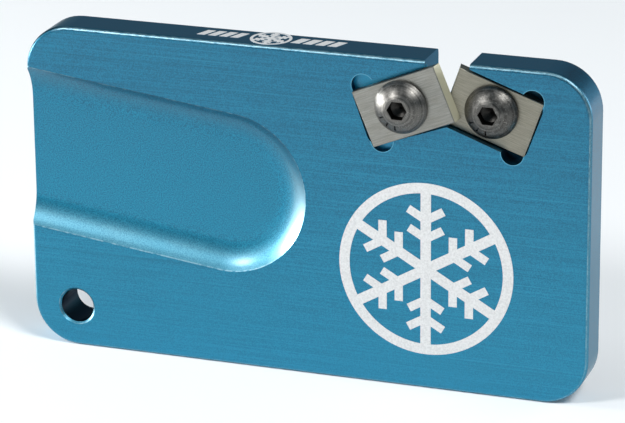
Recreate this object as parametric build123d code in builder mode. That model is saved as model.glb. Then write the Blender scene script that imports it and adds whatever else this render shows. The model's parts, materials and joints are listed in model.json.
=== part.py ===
"""Pocket edge tuning tool: a solid aluminium block that carries two crossed carbide cutters.

The block stands on its long bottom edge. +X runs along its length towards the cutters, +Z is up,
and its front face looks along -Y. The origin is the centre of the bottom face. Millimetres.
"""
import math
import os

from build123d import *

# Block
block_length = 82.55
block_height = 47.9
block_thickness = 6.35
corner_radius = 6.6
edge_radius = 0.6

# Thumb groove: a flat floor with wide concave sides, open at the left end
groove_width = 23.6
groove_depth = 2.0
groove_side_radius = 7.2
groove_tilt = 7.2
groove_end = (-11.3, 25.85)

# Lanyard hole
lanyard_hole_radius = 2.5
lanyard_hole_chamfer = 0.3
lanyard_hole_at = (-34.7, 6.0)

# Notch for the ski edge, open at the top
notch_width = 6.35
notch_depth = 7.6
notch_corner_radius = 1.6
notch_x = 20.95

# Cutter pockets: mirror images that lean away from the middle of the notch
pocket_tilt = 20.0
pocket_meeting_z = 43.55
pocket_width = 9.06
pocket_reach = 13.2
pocket_overlap = 0.8
pocket_corner_radius = 1.6
relief_radius = 1.6
relief_along = 11.35
relief_across = 4.08
front_pocket_depth = 1.15

# Cutters: rectangular plates. The end at the notch slopes, so that its rear edge, which cuts, leads
cutter_length = 12.55
cutter_width = 8.2
cutter_thickness = 1.6
cutter_relief = 0.38
cutter_hole_radius = 2.4
cutter_edge_break = 0.08
cutter_tilts = {"left": 22.2, "right": 19.2}
cutter_centres = {"left": (14.85, 41.07), "right": (27.04, 41.02)}

# Screws: M4 button heads with a 2.5 mm hexagon socket
screw_centres = {"left": (14.64, 41.2), "right": (27.0, 41.2)}
screw_pitch = 0.7
screw_length = 5.0
thread_radius = 2.0
thread_depth = 0.38
thread_clearance = 0.05
thread_count = 6
neck_length = 0.55
neck_radius = 1.7
tapped_hole_chamfer = 0.3
head_radius = 3.75
head_height = 2.2
head_rim_height = 0.5
head_top_radius = 1.7
socket_width = 2.5
socket_depth = 1.4
drill_point_depth = 0.6
tick_count = 3
tick_spacing = 26.0
tick_middle = 235.0
tick_length = 1.15
tick_width = 0.24
tick_depth = 0.18

# Worked out from the driving dimensions
front_y = -block_thickness / 2
back_y = block_thickness / 2
rear_pocket_depth = front_pocket_depth + cutter_thickness
seat_depths = {"left": front_pocket_depth, "right": rear_pocket_depth}
groove_floor_half = groove_width / 2 - math.sqrt(
    groove_side_radius**2 - (groove_side_radius - groove_depth) ** 2
)
past_face = 1.0

front_plane = Plane.XZ.offset(block_thickness / 2)
sides = {"left": -1, "right": 1}


def direction(side, tilt):
    """The unit vector away from the notch, down a pocket or cutter that leans by tilt degrees."""
    angle = math.radians(tilt)
    return (sides[side] * math.cos(angle), 0, -math.sin(angle))


def pocket_plane(side):
    """The pocket's plane on the front face, with local X along the pocket, away from the notch."""
    origin = (notch_x, front_y, pocket_meeting_z)
    return Plane(origin=origin, x_dir=direction(side, pocket_tilt), z_dir=(0, -1, 0))


# --- Block --------------------------------------------------------------------------------------
groove_angle = math.radians(groove_tilt)
groove_origin = (groove_end[0], front_y, groove_end[1])
groove_round_plane = Plane(origin=groove_origin, x_dir=(1, 0, 0), z_dir=(0, 0, 1))
groove_run_plane = Plane(
    origin=groove_origin,
    x_dir=(math.sin(groove_angle), 0, math.cos(groove_angle)),
    z_dir=(-math.cos(groove_angle), 0, math.sin(groove_angle)),
)

# Half of the groove's section: across from its middle, and down from the front face
with BuildSketch() as groove_half_section:
    with BuildLine():
        Polyline(
            (groove_floor_half, groove_depth),
            (0, groove_depth),
            (0, -past_face),
            (groove_width / 2, -past_face),
            (groove_width / 2, 0),
        )
        RadiusArc(
            (groove_width / 2, 0),
            (groove_floor_half, groove_depth),
            -groove_side_radius,
        )
    make_face()

with BuildPart() as body_block:
    with BuildSketch(front_plane):
        with Locations((0, block_height / 2)):
            RectangleRounded(block_length, block_height, corner_radius)
    extrude(amount=-block_thickness)
    outline = body_block.faces().filter_by(Axis.Y).edges()
    fillet(outline, radius=edge_radius)

    # Groove: a dished round end, then the same section run out through the left end
    with BuildSketch(groove_round_plane):
        add(groove_half_section.sketch)
    revolve(axis=Axis(groove_origin, (0, 1, 0)), mode=Mode.SUBTRACT)
    with BuildSketch(groove_run_plane):
        add(groove_half_section.sketch)
        mirror(about=Plane.YZ)
    extrude(amount=block_length / 2, mode=Mode.SUBTRACT)

    # Cutter pockets, with round reliefs where the plates' square corners sit
    for side in sides:
        with BuildSketch(pocket_plane(side)) as pocket:
            with Locations(((pocket_reach - pocket_overlap) / 2, 0)):
                Rectangle(pocket_reach + pocket_overlap, pocket_width)
            fillet(pocket.vertices().group_by(Axis.X)[-1], pocket_corner_radius)
            with Locations((relief_along, relief_across), (relief_along, -relief_across)):
                Circle(relief_radius)
        extrude(amount=-seat_depths[side], mode=Mode.SUBTRACT)

    # Notch, right through
    with BuildSketch(front_plane) as notch:
        with Locations((notch_x, block_height + past_face - (notch_depth + past_face) / 2)):
            Rectangle(notch_width, notch_depth + past_face)
        fillet(notch.vertices().group_by(Axis.Y)[0], notch_corner_radius)
    extrude(amount=-block_thickness, mode=Mode.SUBTRACT)

    # Tapped holes and the lanyard hole, right through
    with Locations(front_plane):
        with Locations(*screw_centres.values()):
            Hole(thread_radius + thread_clearance)
        with Locations(lanyard_hole_at):
            Hole(lanyard_hole_radius)
    lanyard_edges = body_block.edges().filter_by(
        lambda e: e.geom_type == GeomType.CIRCLE and abs(e.radius - lanyard_hole_radius) < 1e-6
    )
    chamfer(lanyard_edges, length=lanyard_hole_chamfer)
    tapped_edges = body_block.edges().filter_by(
        lambda e: e.geom_type == GeomType.CIRCLE
        and abs(e.radius - thread_radius - thread_clearance) < 1e-6
        and abs(e.center().Y - back_y) < 1e-6
    )
    chamfer(tapped_edges, length=tapped_hole_chamfer)

body_block.part.label = "body_block"


# --- Cutters ------------------------------------------------------------------------------------
def cutter_section(side):
    """Corners of the plate's long section, as (along the plate from its middle, depth)."""
    half = cutter_length / 2
    seat = seat_depths[side]
    face = seat - cutter_thickness
    return [(-half - cutter_relief, seat), (half, seat), (half, face), (-half, face)]


def cutter_plane(side):
    """A plane through the plate's middle: local X along the plate, local Y into the block."""
    along = direction(side, cutter_tilts[side])
    centre_x, centre_z = cutter_centres[side]
    return Plane(origin=(centre_x, front_y, centre_z), x_dir=along, z_dir=(-along[2], 0, along[0]))


cutters = {}
for side in sides:
    with BuildPart() as cutter:
        with BuildSketch(cutter_plane(side)):
            with BuildLine():
                Polyline(*cutter_section(side), close=True)
            make_face()
        extrude(amount=cutter_width / 2, both=True)
        hole_plane = Plane(origin=cutter_plane(side).origin, x_dir=(1, 0, 0), z_dir=(0, -1, 0))
        with Locations(hole_plane.offset(cutter_thickness)):
            Hole(cutter_hole_radius)
        chamfer(cutter.faces().sort_by(Axis.Y)[0].outer_wire().edges(), length=cutter_edge_break)
    cutter.part.label = f"{side}_cutter"
    cutters[side] = cutter


# --- Screws -------------------------------------------------------------------------------------
def screw_outline():
    """Half of the shank's profile, as (radius, height above the head's seat), tip first."""
    points = [(0, -screw_length), (thread_radius - thread_depth, -screw_length)]
    for turn in range(thread_count):
        root = -screw_length + screw_pitch * (turn + 0.25)
        points.append((thread_radius, root + screw_pitch * 0.25))
        points.append((thread_radius, root + screw_pitch * 0.4))
        points.append((thread_radius - thread_depth, root + screw_pitch * 0.75))
    points.append((neck_radius, -neck_length))
    points.append((neck_radius, 0))
    points.append((head_radius, 0))
    points.append((head_radius, head_rim_height))
    return points


def screw_plane(side):
    """The plane that the head bears on, with its normal out of the block."""
    seat = seat_depths[side] - cutter_thickness
    centre_x, centre_z = screw_centres[side]
    return Plane(origin=(centre_x, front_y + seat, centre_z), x_dir=(1, 0, 0), z_dir=(0, -1, 0))


dome_centre = (head_top_radius**2 + head_height**2 - head_radius**2 - head_rim_height**2) / (
    2 * (head_height - head_rim_height)
)
dome_radius = math.hypot(head_radius, head_rim_height - dome_centre)
socket_corner = socket_width / 2 / math.cos(math.radians(30))

screws = {}
for side in sides:
    bearing = screw_plane(side)
    with BuildPart() as screw:
        # The profile's height runs along -Y, out of the block
        with BuildSketch(Plane(origin=bearing.origin, x_dir=(1, 0, 0), z_dir=(0, 0, -1))):
            with BuildLine():
                Polyline(*screw_outline())
                RadiusArc(
                    (head_radius, head_rim_height),
                    (head_top_radius, head_height),
                    -dome_radius,
                )
                Polyline((head_top_radius, head_height), (0, head_height), (0, -screw_length))
            make_face()
        revolve(axis=Axis(bearing.origin, (0, -1, 0)))
        # Hexagon socket with a drill point below it
        with BuildSketch(bearing.offset(head_height)):
            RegularPolygon(socket_corner, 6)
        extrude(amount=-socket_depth, mode=Mode.SUBTRACT)
        with Locations(bearing.offset(head_height - socket_depth - drill_point_depth / 2)):
            Cone(0, socket_width / 2, drill_point_depth, mode=Mode.SUBTRACT)
        # Short ticks pressed into the dome
        for index in range(tick_count):
            angle = math.radians(tick_middle + tick_spacing * (index - (tick_count - 1) / 2))
            middle = (head_radius + head_top_radius) / 2
            height = dome_centre + math.sqrt(dome_radius**2 - middle**2)
            slope = math.asin(middle / dome_radius)
            outward = bearing.x_dir * math.cos(angle) + bearing.y_dir * math.sin(angle)
            normal = outward * math.sin(slope) + bearing.z_dir * math.cos(slope)
            foot = bearing.origin + outward * middle + bearing.z_dir * height
            tangent = outward.cross(bearing.z_dir)
            with BuildSketch(Plane(origin=foot, x_dir=tangent, z_dir=normal)):
                SlotOverall(tick_length, tick_width, rotation=90)
            extrude(amount=tick_depth, both=True, mode=Mode.SUBTRACT)
    screw.part.label = f"{side}_screw"
    screws[side] = screw

os.makedirs("parts", exist_ok=True)
export_step(body_block.part, "parts/body_block.step")
for side in sides:
    export_step(cutters[side].part, f"parts/{side}_cutter.step")
    export_step(screws[side].part, f"parts/{side}_screw.step")
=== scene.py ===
"""Looks for the edge tuning tool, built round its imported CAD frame. Lengths are in metres.

The CAD nodes keep their shapes and get finished materials. The marks on the block are thin raised
prints, built here. +X runs along the block towards the cutters, +Z is up, the front looks along -Y.
"""
import json
import math

import bmesh
import bpy
from mathutils import Matrix, Vector
from mathutils.geometry import delaunay_2d_cdt


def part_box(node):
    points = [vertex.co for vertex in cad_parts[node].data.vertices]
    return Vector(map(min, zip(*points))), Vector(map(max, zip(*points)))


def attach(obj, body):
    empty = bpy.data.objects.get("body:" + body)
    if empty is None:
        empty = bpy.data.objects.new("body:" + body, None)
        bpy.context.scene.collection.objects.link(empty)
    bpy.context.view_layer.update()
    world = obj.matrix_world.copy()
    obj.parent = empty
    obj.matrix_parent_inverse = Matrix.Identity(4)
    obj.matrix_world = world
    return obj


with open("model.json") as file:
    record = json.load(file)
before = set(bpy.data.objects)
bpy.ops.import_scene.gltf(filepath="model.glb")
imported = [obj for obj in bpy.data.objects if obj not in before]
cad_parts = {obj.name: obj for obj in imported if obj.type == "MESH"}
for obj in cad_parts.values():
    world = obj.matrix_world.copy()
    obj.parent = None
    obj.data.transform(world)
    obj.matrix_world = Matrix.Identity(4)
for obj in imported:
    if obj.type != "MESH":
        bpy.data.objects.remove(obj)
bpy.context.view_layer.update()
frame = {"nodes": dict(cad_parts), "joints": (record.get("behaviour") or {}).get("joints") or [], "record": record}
mm = 0.001

# --- Places -------------------------------------------------------------------------------------
nodes = frame["nodes"]
joints = {joint["name"]: joint for joint in frame["joints"]}
mounts = {mount["name"]: mount for mount in frame["record"]["mounts"]}
block_low, block_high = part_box("body_block")
front_y = block_low.y
top_z = block_high.z
corner_radius = 6.6 * mm
edge_radius = 0.6 * mm
groove_top_z = 41.4 * mm
lanyard_hole_x, _, lanyard_hole_z = mounts["lanyard_hole"]["pos_m"]
lanyard_hole_radius = mounts["lanyard_hole"]["dims"]["r_mm"] * mm

# The cutter pockets are mirror images that lean away from the notch, and the right one is deeper
notch_x = 20.95 * mm
pocket_meeting_z = 43.55 * mm
pocket_lean = math.radians(20)
pocket_foot_z = 33.0 * mm
deep_pocket_x = (24.3 * mm, 35.4 * mm)
deep_pocket_top_z = 47.3 * mm
deep_pocket_floor_y = front_y + 2.75 * mm
shallow_pocket_x = (4.0 * mm, 21.0 * mm)
relief_along = 11.35 * mm
relief_across = 4.08 * mm
relief_radius = 1.6 * mm

# The screw heads' domes are parts of spheres
head_radius = 3.75 * mm
head_height = 2.2 * mm
head_rim_height = 0.5 * mm
head_top_radius = 1.7 * mm
socket_corner = 1.44 * mm
dome_centre = (head_top_radius**2 + head_height**2 - head_radius**2 - head_rim_height**2) / (
    2 * (head_height - head_rim_height)
)
dome_radius = math.hypot(head_radius, head_rim_height - dome_centre)

# Marks: the round badge on the front, and the row on the top face
badge_centre = (18.0 * mm, front_y, 17.75 * mm)
top_marks_centre = (0, 0.25 * mm, top_z)
print_height = 0.03 * mm


def relief_centres():
    """The middles of the round reliefs at the pockets' far corners, as (x, z)."""
    cosine, sine = math.cos(pocket_lean), math.sin(pocket_lean)
    return [
        (
            notch_x + side * (relief_along * cosine + across * sine),
            pocket_meeting_z - relief_along * sine + across * cosine,
        )
        for side in (-1, 1)
        for across in (relief_across, -relief_across)
    ]


# --- Node material helpers ----------------------------------------------------------------------
class Tree:
    """A Principled material and short ways to add nodes to it."""

    def __init__(self, name, **sockets):
        self.material = bpy.data.materials.new(name)
        self.material.use_nodes = True
        self.nodes = self.material.node_tree.nodes
        self.links = self.material.node_tree.links
        self.shader = self.nodes["Principled BSDF"]
        for socket, value in sockets.items():
            self.shader.inputs[socket.replace("_", " ")].default_value = value

    def plug(self, socket, value):
        """Joins value to socket if it is another node's output, or else sets it."""
        if isinstance(value, bpy.types.NodeSocket):
            self.links.new(value, socket)
        else:
            socket.default_value = value

    def drive(self, socket, value):
        """Joins a node's output to one of the shader's sockets."""
        self.plug(self.shader.inputs[socket], value)

    def add(self, kind, inputs, output=0, **settings):
        """Adds a node, fills its sockets and gives one of its outputs."""
        node = self.nodes.new(kind)
        for key, value in settings.items():
            setattr(node, key, value)
        for key, value in inputs.items():
            self.plug(node.inputs[key], value)
        return node.outputs[output]

    def math(self, operation, a, b=0.0):
        return self.add("ShaderNodeMath", {0: a, 1: b}, operation=operation)

    def product(self, *factors):
        result = factors[0]
        for factor in factors[1:]:
            result = self.math("MULTIPLY", result, factor)
        return result

    def weighted_sum(self, *pairs):
        """The sum of (value, weight) pairs."""
        total = 0.0
        for value, weight in pairs:
            total = self.math("ADD", total, self.math("MULTIPLY", value, weight))
        return total

    def distance(self, a, b):
        """The length of the flat offset (a, b)."""
        squares = self.math("ADD", self.math("POWER", a, 2.0), self.math("POWER", b, 2.0))
        return self.math("SQRT", squares)

    def remap(self, value, low, high, to_low=0.0, to_high=1.0):
        """Carries low..high to to_low..to_high, and holds the ends. Low may be the greater."""
        span = {"Value": value, "From Min": low, "From Max": high, "To Min": to_low, "To Max": to_high}
        return self.add("ShaderNodeMapRange", span)

    def between(self, value, low, high, soft):
        """1 from low to high, fading to 0 over a width of soft inside each end."""
        return self.product(self.remap(value, low, low + soft), self.remap(value, high, high - soft))

    def mix(self, factor, a, b):
        return self.add("ShaderNodeMix", {0: factor, 6: a, 7: b}, output=2, data_type="RGBA")

    def tint(self, pattern, low, high, dark, light):
        """A colour from dark to light as the pattern goes from low to high."""
        return self.mix(self.remap(pattern, low, high), dark, light)

    def noise(self, place, density, detail=2.0, roughness=0.5, turn=(0, 0, 0)):
        """Noise with so many cells per metre along each axis, after turning the place."""
        moved = self.add(
            "ShaderNodeMapping", {"Vector": place, "Rotation": turn}, vector_type="POINT"
        )
        scaled = self.add("ShaderNodeVectorMath", {0: moved, 1: density}, operation="MULTIPLY")
        inputs = {"Vector": scaled, "Scale": 1.0, "Detail": detail, "Roughness": roughness}
        return self.add("ShaderNodeTexNoise", inputs, noise_dimensions="3D")

    def even_noise(self, place, density, detail=2.0, roughness=0.5):
        """Noise whose cells are as long as they are wide."""
        return self.noise(place, (density, density, density), detail, roughness)

    def place(self):
        return self.add("ShaderNodeTexCoord", {}, output="Object")

    def normal(self):
        """The object's own normal, which turns with it."""
        return self.add("ShaderNodeTexCoord", {}, output="Normal")

    def split(self, vector):
        node = self.nodes.new("ShaderNodeSeparateXYZ")
        self.plug(node.inputs[0], vector)
        return node.outputs

    def bump(self, height, distance, strength):
        inputs = {"Height": height, "Distance": distance, "Strength": strength}
        self.drive("Normal", self.add("ShaderNodeBump", inputs))

    def brush_along_x(self):
        """Turns the anisotropic gloss so that its grain runs along the object's own X."""
        along = self.add("ShaderNodeCombineXYZ", {0: 1.0, 1: 0.0, 2: 0.0})
        turned_along = self.add(
            "ShaderNodeVectorTransform",
            {0: along},
            vector_type="VECTOR",
            convert_from="OBJECT",
            convert_to="WORLD",
        )
        self.drive("Tangent", turned_along)


def set_finish(node, tree):
    """Gives a CAD node one material in place of its packed one."""
    for slot in nodes[node].material_slots:
        slot.material = tree.material


# --- Anodised aluminium block -------------------------------------------------------------------
class Anodised(Tree):
    """Dyed anodising: fine lines along the block, a blasted grain in its cuts, rubbed edges, and painted light and
    shade.
    """

    def __init__(self):
        super().__init__(
            "blue_anodised",
            Metallic=1.0,
            Specular_Tint=(0.05, 0.42, 0.48, 1),
            Coat_Roughness=0.24,
            Coat_IOR=1.45,
            Anisotropic=0.3,
        )
        self.at = self.place()
        self.x, self.y, self.z = self.split(self.at)
        self.facing_x, self.facing_y, self.facing_z = self.split(self.normal())
        # 1 on the front and the back, and 0 on the outline and the walls of holes
        self.flatness = self.math("ABSOLUTE", self.facing_y)

        # Cut surfaces: everything sunk below the front face that still looks forwards
        sunk = self.remap(self.y, front_y + 0.02 * mm, front_y + 0.10 * mm)
        self.milled = self.product(sunk, self.remap(self.facing_y, -0.35, -0.6))
        self.grain = self.even_noise(self.at, 6000, roughness=0.6)
        self.lines = self.weighted_sum(
            (self.noise(self.at, (150, 9000, 9000), detail=1.0), 0.28),
            (self.noise(self.at, (18, 5200, 5200), detail=0.0), 0.12),
            (self.even_noise(self.at, 6500, detail=1.0), 0.60),
        )
        self.edge = self.rounded_edge()
        # The rounded edge at the top left corner, above the groove, which gets painted shade
        self.left_edge = self.product(
            self.edge,
            self.remap(self.x, block_low.x + 7.0 * mm, block_low.x + 4.0 * mm),
            self.remap(self.z, groove_top_z, groove_top_z + 0.3 * mm),
        )
        # Walls inside the outline that face right, above all the notch's left wall, which get painted shade
        self.inner_wall = self.product(
            self.remap(self.facing_x, 0.5, 0.8), self.remap(self.x, 30.0 * mm, 29.0 * mm)
        )
        # The lanyard hole's wall, which is painted nearly black for shade
        self.hole = self.lanyard_hole_wall()

        colour = self.dyes()
        layers = (self.groove_highlights, self.score, self.painted_light_grade, self.edge_wear_and_light, self.pockets, self.painted_shade)
        for layer in layers:
            colour = layer(colour)
        self.drive("Base Color", colour)
        self.gloss()

    def rounded_edge(self):
        """The rounded edges between the block's faces and its outline."""
        middle = (block_low + block_high) / 2
        half = (block_high - block_low) / 2
        past_corner = []
        for value, centre, reach in ((self.x, middle.x, half.x), (self.z, middle.z, half.z)):
            off_centre = self.math("ABSOLUTE", self.math("SUBTRACT", value, centre))
            off_centre = self.math("SUBTRACT", off_centre, reach - corner_radius)
            past_corner.append(self.math("MAXIMUM", off_centre, 0.0))
        outward = self.distance(*past_corner)
        inner = corner_radius - edge_radius
        return self.product(
            self.remap(outward, inner - 0.05 * mm, inner + 0.15 * mm),
            self.remap(self.flatness, 0.2, 0.4),
            self.remap(self.flatness, 0.99, 0.95),
        )

    def lanyard_hole_wall(self):
        off_x = self.math("SUBTRACT", self.x, lanyard_hole_x)
        off_z = self.math("SUBTRACT", self.z, lanyard_hole_z)
        inside = self.remap(
            self.distance(off_x, off_z), lanyard_hole_radius + 0.12 * mm, lanyard_hole_radius + 0.06 * mm
        )
        return self.product(inside, self.remap(self.flatness, 0.3, 0.2))

    def dyes(self):
        """The faces and the cuts, each mottled by its own texture."""
        face = self.tint(self.lines, 0.38, 0.62, (0.001, 0.104, 0.190, 1), (0.010, 0.225, 0.372, 1))
        cut = self.tint(self.grain, 0.38, 0.62, (0.001, 0.112, 0.198, 1), (0.010, 0.274, 0.436, 1))
        return self.mix(self.milled, face, cut)

    def groove_highlights(self, colour):
        """Painted highlights on the groove's curved sides, paler on walls that face up, most at its round end and
        along its lip.
        """
        # Painted highlight on the curved walls, strongest on those facing up
        curved = self.product(
            self.milled,
            self.remap(self.facing_y, -0.985, -0.905, 0.0, 0.82),
            self.remap(self.facing_z, -0.25, 0.1, 0.2, 1.0),
        )
        highlight_tint = self.tint(
            self.grain, 0.38, 0.62, (0.092, 0.190, 0.232, 1), (0.170, 0.345, 0.395, 1)
        )
        colour = self.mix(curved, colour, highlight_tint)
        # A near white painted highlight on the round end's walls
        end = self.product(curved, self.remap(self.facing_x, -0.3, -0.6))
        colour = self.mix(end, colour, (0.46, 0.61, 0.65, 1))
        # A painted highlight along the lip, broken into flecks
        lip_highlight = self.product(
            self.remap(self.y, front_y + 0.16 * mm, front_y + 0.08 * mm),
            self.remap(self.facing_y, -0.5, -0.6),
            self.remap(self.facing_y, -0.9, -0.85),
            self.remap(self.even_noise(self.at, 1500), 0.4, 0.6, 0.1, 0.8),
        )
        return self.mix(lip_highlight, colour, (0.45, 0.66, 0.72, 1))

    def score(self, colour):
        """Long pale and dark brush lines on the faces, and a faint cloudiness."""
        pale = self.remap(self.noise(self.at, (24, 5200, 5200), detail=1.0), 0.64, 0.78)
        pale = self.product(pale, self.remap(self.milled, 0.0, 1.0, 0.25, 0.0))
        colour = self.mix(pale, colour, (0.045, 0.34, 0.50, 1))
        dark = self.remap(self.noise(self.at, (16, 3400, 3400), detail=0.0), 0.68, 0.8)
        dark = self.product(dark, self.remap(self.milled, 0.0, 1.0, 0.3, 0.0))
        colour = self.mix(dark, colour, (0.001, 0.085, 0.150, 1))
        cloud = self.remap(self.even_noise(self.at, 150), 0.35, 0.7, 0.0, 0.16)
        return self.mix(cloud, colour, (0.006, 0.210, 0.335, 1))

    def painted_light_grade(self, colour):
        """Painted shade darkening towards the top edge, painted light on the lower part, and painted light on the
        top face.
        """
        # Painted shade, deeper towards the top edge
        higher = self.remap(self.z, 0.3 * top_z, top_z, 0.0, 0.34)
        colour = self.mix(higher, colour, (0.001, 0.085, 0.165, 1))
        # Painted light, brighter towards the bottom
        lower = self.remap(self.z, 0.75 * top_z, 0.1 * top_z, 0.0, 0.42)
        colour = self.mix(lower, colour, (0.006, 0.262, 0.425, 1))
        # Painted light on the top face
        top_face = self.remap(self.facing_z, 0.9, 0.99, 0.0, 0.5)
        return self.mix(top_face, colour, (0.006, 0.330, 0.560, 1))

    def edge_wear_and_light(self, colour):
        """Edges rubbed bare in broken flecks, partly wear and partly painted highlight, most along the top, and
        painted shade at the top left corner.
        """
        flecks = self.noise(self.at, (1300, 3800, 3800))
        # Wear and painted highlight on the rounded edges, strongest on the top edge
        wear_and_highlight = self.product(
            self.edge,
            self.remap(self.z, top_z - 8.0 * mm, top_z - 1.5 * mm, 0.16, 1.0),
            self.remap(self.x, block_low.x + 1.5 * mm, block_low.x + 7.0 * mm, 0.1, 1.0),
            self.remap(self.x, block_high.x - 10.0 * mm, block_high.x - 2.0 * mm, 1.0, 0.3),
            self.remap(flecks, 0.36, 0.6, 0.06, 0.45),
        )
        colour = self.mix(wear_and_highlight, colour, (0.40, 0.62, 0.70, 1))
        # Painted shade on the rounded edge at the top left corner
        return self.mix(self.product(self.left_edge, 0.85), colour, (0.001, 0.040, 0.075, 1))

    def pockets(self, colour):
        """Painted shade in the deep pocket, painted light on the shallow pocket's floor, and painted highlight on
        the reliefs' lips.
        """
        # Painted shade, darker deeper into the deep pocket
        deep_shade = self.product(
            self.between(self.x, *deep_pocket_x, 0.2 * mm),
            self.between(self.z, pocket_foot_z, deep_pocket_top_z, 0.2 * mm),
            self.remap(self.y, deep_pocket_floor_y + 0.25 * mm, deep_pocket_floor_y + 0.15 * mm),
            self.remap(self.y, front_y + 0.3 * mm, front_y + 1.9 * mm, 0.0, 0.72),
        )
        colour = self.mix(deep_shade, colour, (0.004, 0.018, 0.030, 1))
        # Painted light on the shallow pocket's floor
        shallow_light = self.product(
            self.milled,
            self.remap(self.facing_y, -0.9, -0.99),
            self.between(self.x, *shallow_pocket_x, 1.0 * mm),
            self.remap(self.z, pocket_foot_z, pocket_foot_z + 1.0 * mm),
            0.45,
        )
        colour = self.mix(shallow_light, colour, (0.012, 0.33, 0.56, 1))
        # A painted highlight round the lips of the reliefs
        lip_highlight = 0.0
        for centre_x, centre_z in relief_centres():
            off_x = self.math("SUBTRACT", self.x, centre_x)
            off_z = self.math("SUBTRACT", self.z, centre_z)
            near = self.remap(
                self.distance(off_x, off_z), relief_radius + 0.14 * mm, relief_radius + 0.06 * mm
            )
            lip_highlight = self.math("MAXIMUM", lip_highlight, near)
        on_face = self.remap(self.y, front_y + 0.01 * mm, front_y + 0.005 * mm)
        return self.mix(self.product(lip_highlight, on_face, 0.6), colour, (0.12, 0.42, 0.58, 1))

    def painted_shade(self, colour):
        """Painted shade on inner walls that face right, and on the lanyard hole's wall, which is painted nearly
        black.
        """
        # Painted shade on the walls that face right
        colour = self.mix(self.product(self.inner_wall, 0.35), colour, (0.001, 0.030, 0.055, 1))
        # Painted shade: the lanyard hole's wall nearly black
        return self.mix(self.product(self.hole, 0.9), colour, (0.006, 0.007, 0.008, 1))

    def gloss(self):
        """A clear seal over brushed metal, thinner on inner walls and at the left edge, where shade is painted
        too.
        """
        walls = self.math("MAXIMUM", self.inner_wall, self.hole)
        thin = self.math("MAXIMUM", walls, self.left_edge)
        self.drive("Coat Weight", self.remap(thin, 0.0, 1.0, 0.9, 0.25))
        inputs = {0: self.milled, 2: self.lines, 3: self.grain}
        texture = self.add("ShaderNodeMix", inputs, data_type="FLOAT")
        rough = self.remap(texture, 0.3, 0.7, 0.33, 0.43)
        self.drive("Roughness", self.math("ADD", rough, self.product(self.milled, 0.08)))
        self.bump(texture, 0.006 * mm, 0.7)
        self.brush_along_x()


# --- Carbide plates -----------------------------------------------------------------------------
def carbide(side, tilt, dark, light, end_sign):
    """Ground plate: lines along its length, duller yellow sides, and a pale end that cuts.

    The plate leans by tilt degrees, and end_sign is the sign of X that its cutting end faces.
    """
    tree = Tree(f"{side}_carbide", Metallic=1.0, Anisotropic=0.3)
    place = tree.place()
    facing_x, facing_y, _ = tree.split(tree.normal())
    turn = (0, math.radians(tilt), 0)
    lines = tree.noise(place, (420, 9500, 9500), turn=turn)
    scratch = tree.remap(tree.noise(place, (200, 6500, 6500), detail=1.0, turn=turn), 0.64, 0.76)
    blotch = tree.even_noise(place, 620, detail=3.0)
    pits = tree.remap(tree.even_noise(place, 8500, detail=1.0), 0.62, 0.75)
    side_face = tree.remap(facing_y, -0.9, -0.5)
    cutting_end = tree.remap(tree.product(facing_x, end_sign), 0.6, 0.8)

    colour = tree.tint(lines, 0.32, 0.68, dark, light)
    colour = tree.mix(tree.product(scratch, 0.3), colour, (0.50, 0.49, 0.45, 1))
    colour = tree.mix(tree.remap(blotch, 0.45, 0.75, 0.0, 0.3), colour, (0.24, 0.225, 0.19, 1))
    colour = tree.mix(tree.product(pits, 0.45), colour, (0.12, 0.115, 0.10, 1))
    colour = tree.mix(tree.product(side_face, 0.7), colour, (0.22, 0.215, 0.18, 1))
    colour = tree.mix(tree.product(cutting_end, 0.85), colour, (0.57, 0.545, 0.39, 1))
    tree.drive("Base Color", colour)
    tree.drive("Metallic", tree.remap(cutting_end, 0.0, 1.0, 1.0, 0.35))
    tree.drive("Roughness", tree.remap(lines, 0.3, 0.7, 0.38, 0.5))
    tree.bump(lines, 0.003 * mm, 0.6)
    return tree


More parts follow.
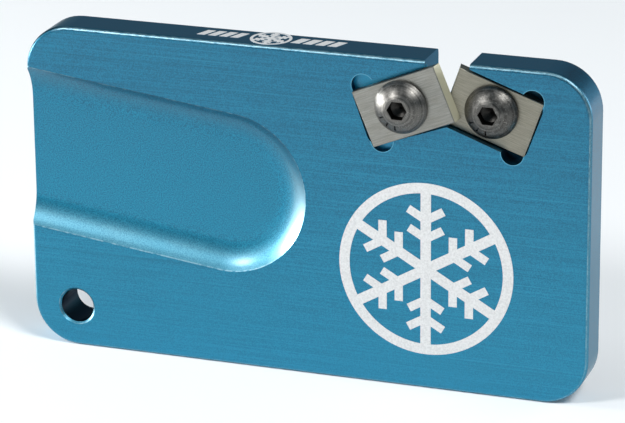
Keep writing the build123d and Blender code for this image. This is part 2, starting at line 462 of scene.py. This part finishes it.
# --- Screws -------------------------------------------------------------------------------------
def dark_steel(side, dark, light):
    """Dark steel: turned rings about the screw's axis, worn pale in patches and specks, with painted shade in the
    socket.
    """
    tree = Tree(f"{side}_dark_steel", Metallic=1.0)
    place = tree.place()
    axis = Vector(joints[f"{side}_screw_turn"]["pos_m"])
    low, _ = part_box(f"{side}_screw")
    centre = tree.add(
        "ShaderNodeVectorMath", {0: place, 1: (axis.x, low.y, axis.z)}, operation="SUBTRACT"
    )
    x, depth, z = tree.split(centre)
    radius = tree.distance(x, z)
    ring_place = tree.add("ShaderNodeCombineXYZ", {0: radius, 1: depth, 2: 0.0})
    rings = tree.noise(ring_place, (5600, 1500, 1))
    blotch = tree.even_noise(place, 1500, detail=3.0)
    grit = tree.even_noise(place, 5200, detail=1.0)

    colour = tree.tint(rings, 0.32, 0.68, dark, light)
    colour = tree.mix(tree.remap(blotch, 0.5, 0.72, 0.0, 0.5), colour, (0.20, 0.197, 0.185, 1))
    colour = tree.mix(tree.remap(grit, 0.58, 0.72, 0.0, 0.5), colour, (0.30, 0.29, 0.27, 1))
    # Painted shade, darker deeper into the hex socket
    socket = tree.product(
        tree.remap(radius, socket_corner + 0.04 * mm, socket_corner),
        tree.remap(depth, 0.03 * mm, 0.5 * mm, 0.0, 0.85),
    )
    # Black left in the ticks, which lie inside the dome's sphere
    off_dome = tree.distance(radius, tree.math("SUBTRACT", depth, head_height - dome_centre))
    ticks = tree.product(
        tree.remap(off_dome, dome_radius - 0.04 * mm, dome_radius - 0.08 * mm),
        tree.remap(radius, head_top_radius + 0.2 * mm, head_top_radius + 0.3 * mm),
        tree.remap(radius, head_radius - 0.15 * mm, head_radius - 0.25 * mm),
    )
    colour = tree.mix(tree.math("MAXIMUM", socket, ticks), colour, (0.022, 0.021, 0.020, 1))
    tree.drive("Base Color", colour)
    tree.drive("Roughness", tree.remap(blotch, 0.3, 0.7, 0.32, 0.47))
    tree.bump(tree.math("ADD", rings, tree.product(grit, 1.1)), 0.006 * mm, 0.7)
    return tree


# --- White marks --------------------------------------------------------------------------------
def white_mark():
    """Matt white print with a fine grain."""
    tree = Tree("white_mark", Metallic=0.0, Specular_IOR_Level=0.3)
    grain = tree.even_noise(tree.place(), 4200)
    white = tree.tint(grain, 0.35, 0.7, (0.69, 0.69, 0.685, 1), (0.56, 0.56, 0.555, 1))
    tree.drive("Base Color", white)
    tree.drive("Roughness", tree.remap(grain, 0.3, 0.7, 0.55, 0.75))
    tree.bump(grain, 0.01 * mm, 0.5)
    return tree


def ring_cells(radius, width, cells):
    """A ring of this outer radius, as small four-sided cells side by side."""
    angles = [math.tau * i / cells for i in range(cells + 1)]
    quads = []
    for start, end in zip(angles, angles[1:]):
        quads.append(
            [
                (reach * math.cos(angle), reach * math.sin(angle))
                for reach, angle in (
                    (radius - width, start),
                    (radius, start),
                    (radius, end),
                    (radius - width, end),
                )
            ]
        )
    return quads


def bar(start, end, width):
    """A straight bar between two points."""
    start, end = Vector(start), Vector(end)
    side = (end - start).orthogonal().normalized() * width / 2
    return [tuple(point) for point in (start + side, start - side, end - side, end + side)]


def turned(shape, angle):
    cosine, sine = math.cos(angle), math.sin(angle)
    return [(cosine * x - sine * y, sine * x + cosine * y) for x, y in shape]


def shifted(shapes, dx):
    return [[(x + dx, y) for x, y in shape] for shape in shapes]


def crystal(radius, width):
    """A six-armed snow crystal with two pairs of branches on each arm."""
    # Where each pair leaves its arm and how long it is, as parts of the arm's length
    branches = ((0.40, 0.25), (0.64, 0.26))
    arm = [bar((0, 0), (radius, 0), width)]
    for root, length in branches:
        for lean in (math.pi / 3, -math.pi / 3):
            foot = root * radius
            reach = length * radius
            tip = (foot + reach * math.cos(lean), reach * math.sin(lean))
            arm.append(bar((foot, 0), tip, width * 0.8))
    angles = [math.tau * i / 6 + math.pi / 2 for i in range(6)]
    return [turned(part, angle) for angle in angles for part in arm]


def slanted_bars(start, count, pitch, width, height, lean):
    """A row of leaning bars."""
    bars = []
    for i in range(count):
        x = start + i * pitch
        bars.append(
            [
                (x - lean / 2, -height / 2),
                (x + width - lean / 2, -height / 2),
                (x + width + lean / 2, height / 2),
                (x + lean / 2, height / 2),
            ]
        )
    return bars


def print_mark(name, shapes, origin, right, up):
    """Joins overlapping flat shapes into one outline, and raises it from the block's face.

    The print reaches as far into the block as out of it, so that there is no gap under it.
    """
    points = []
    outlines = []
    for shape in shapes:
        outlines.append(list(range(len(points), len(points) + len(shape))))
        points += [Vector(point) / mm for point in shape]
    triangles, tolerance = 0, 1e-5
    verts, _, faces, _, _, sources = delaunay_2d_cdt(points, [], outlines, triangles, tolerance)

    mesh = bmesh.new()
    right, up = Vector(right), Vector(up)
    out = right.cross(up)
    buried = Vector(origin) - out * print_height
    made = [mesh.verts.new(buried + (right * v.x + up * v.y) * mm) for v in verts]
    for face, source in zip(faces, sources):
        if source:
            mesh.faces.new([made[i] for i in face])
    bmesh.ops.delete(mesh, geom=[v for v in mesh.verts if not v.link_faces], context="VERTS")
    bmesh.ops.remove_doubles(mesh, verts=mesh.verts[:], dist=0.002 * mm)
    bmesh.ops.recalc_face_normals(mesh, faces=mesh.faces[:])
    raised = bmesh.ops.extrude_face_region(mesh, geom=mesh.faces[:])
    top = [v for v in raised["geom"] if isinstance(v, bmesh.types.BMVert)]
    bmesh.ops.translate(mesh, vec=out * 2 * print_height, verts=top)
    bmesh.ops.recalc_face_normals(mesh, faces=mesh.faces[:])
    data = bpy.data.meshes.new(name)
    mesh.to_mesh(data)
    mesh.free()
    piece = bpy.data.objects.new(name, data)
    bpy.context.scene.collection.objects.link(piece)
    return piece


def make_marks():
    """A snow crystal in a ring on the front, and a small one between two rows of bars on top."""
    badge = ring_cells(radius=12.6 * mm, width=1.5 * mm, cells=120)
    badge += crystal(radius=11.3 * mm, width=1.5 * mm)
    front = print_mark("front_badge", badge, badge_centre, right=(1, 0, 0), up=(0, 0, 1))

    row = ring_cells(radius=2.95 * mm, width=0.42 * mm, cells=72)
    row += crystal(radius=2.6 * mm, width=0.5 * mm)
    row = shifted(row, -5.55 * mm)
    size = {"height": 2.3 * mm, "lean": 0.9 * mm}
    row += slanted_bars(start=-15.7 * mm, count=4, pitch=1.65 * mm, width=1.15 * mm, **size)
    row += slanted_bars(start=-1.9 * mm, count=4, pitch=1.8 * mm, width=1.3 * mm, **size)
    top = print_mark("top_marks", row, top_marks_centre, right=(1, 0, 0), up=(0, 1, 0))

    finish = white_mark().material
    for piece in (front, top):
        piece.data.materials.append(finish)
        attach(piece, "block")


# --- Floor, lights and camera -------------------------------------------------------------------
def make_floor():
    half = 3.0
    data = bpy.data.meshes.new("floor")
    corners = [(-half, -half, 0), (half, -half, 0), (half, half, 0), (-half, half, 0)]
    data.from_pydata(corners, [], [(0, 1, 2, 3)])
    floor = bpy.data.objects.new("floor", data)
    bpy.context.scene.collection.objects.link(floor)
    pale = (0.95, 0.95, 0.95, 1)
    tree = Tree("floor", Base_Color=pale, Roughness=0.9, Specular_IOR_Level=0.1)
    data.materials.append(tree.material)


def towards(azimuth, elevation):
    """The unit vector at two angles in degrees. Azimuth 0 is in front, and 90 is on the right."""
    around, above = math.radians(azimuth), math.radians(elevation)
    reach = math.cos(above)
    return Vector((math.sin(around) * reach, -math.cos(around) * reach, math.sin(above)))


def softbox(name, azimuth, elevation, distance, size, power):
    """An oblong light that faces the block's middle."""
    back = towards(azimuth, elevation)
    data = bpy.data.lights.new(name, "AREA")
    data.shape = "RECTANGLE"
    data.size, data.size_y = size
    data.energy = power
    light = bpy.data.objects.new(name, data)
    light.location = (block_low + block_high) / 2 + back * distance
    light.rotation_euler = back.to_track_quat("Z", "Y").to_euler()
    bpy.context.scene.collection.objects.link(light)


def make_lights():
    softbox("overhead", azimuth=58, elevation=52, distance=1.4, size=(0.45, 0.45), power=12.0)
    softbox("front_top", azimuth=-40, elevation=35, distance=0.7, size=(0.14, 0.14), power=2.4)
    softbox("left_key", azimuth=-84, elevation=3, distance=0.55, size=(0.16, 0.09), power=4.6)
    softbox("right_card", azimuth=127, elevation=9, distance=0.6, size=(0.4, 0.3), power=1.3)
    world = bpy.data.worlds.new("studio")
    world.use_nodes = True
    world.node_tree.nodes["Background"].inputs["Color"].default_value = (0.125, 0.17, 0.20, 1)
    bpy.context.scene.world = world


def make_camera():
    """A long lens to the right of the front, a little above it and very slightly rolled."""
    azimuth = 19.606
    elevation = 19.648
    roll = math.radians(-0.559)
    target = Vector((1.489 * mm, front_y, 24.438 * mm))
    distance = 476.12 * mm

    back = towards(azimuth, elevation)
    level = towards(azimuth + 90, 0)
    right = level * math.cos(roll) + back.cross(level) * math.sin(roll)
    turn = Matrix((right, back.cross(right), back)).transposed()
    data = bpy.data.cameras.new("camera")
    data.sensor_width = 36.0
    data.lens = 197.3
    data.clip_start = 0.01
    camera = bpy.data.objects.new("camera", data)
    camera.matrix_world = Matrix.Translation(target + back * distance) @ turn.to_4x4()
    bpy.context.scene.collection.objects.link(camera)
    bpy.context.scene.camera = camera


plate_finishes = {
    "left": {
        "tilt": 22.2,
        "end_sign": 1.0,
        "dark": (0.235, 0.233, 0.212, 1),
        "light": (0.345, 0.341, 0.310, 1),
    },
    "right": {
        "tilt": -19.2,
        "end_sign": -1.0,
        "dark": (0.232, 0.220, 0.177, 1),
        "light": (0.340, 0.322, 0.262, 1),
    },
}
# Both screws are the same steel: the left one is painted lighter and the right one darker, as painted light and
# shade
lit_and_shaded_screw_greys = {
    "left": {"dark": (0.085, 0.082, 0.076, 1), "light": (0.175, 0.169, 0.157, 1)},
    "right": {"dark": (0.060, 0.058, 0.054, 1), "light": (0.130, 0.126, 0.117, 1)},
}

set_finish("body_block", Anodised())
for side, finish in plate_finishes.items():
    set_finish(f"{side}_cutter", carbide(side, **finish))
for side, greys in lit_and_shaded_screw_greys.items():
    set_finish(f"{side}_screw", dark_steel(side, **greys))
make_marks()
make_floor()
make_lights()
make_camera()
bpy.context.scene.view_settings.view_transform = "Standard"
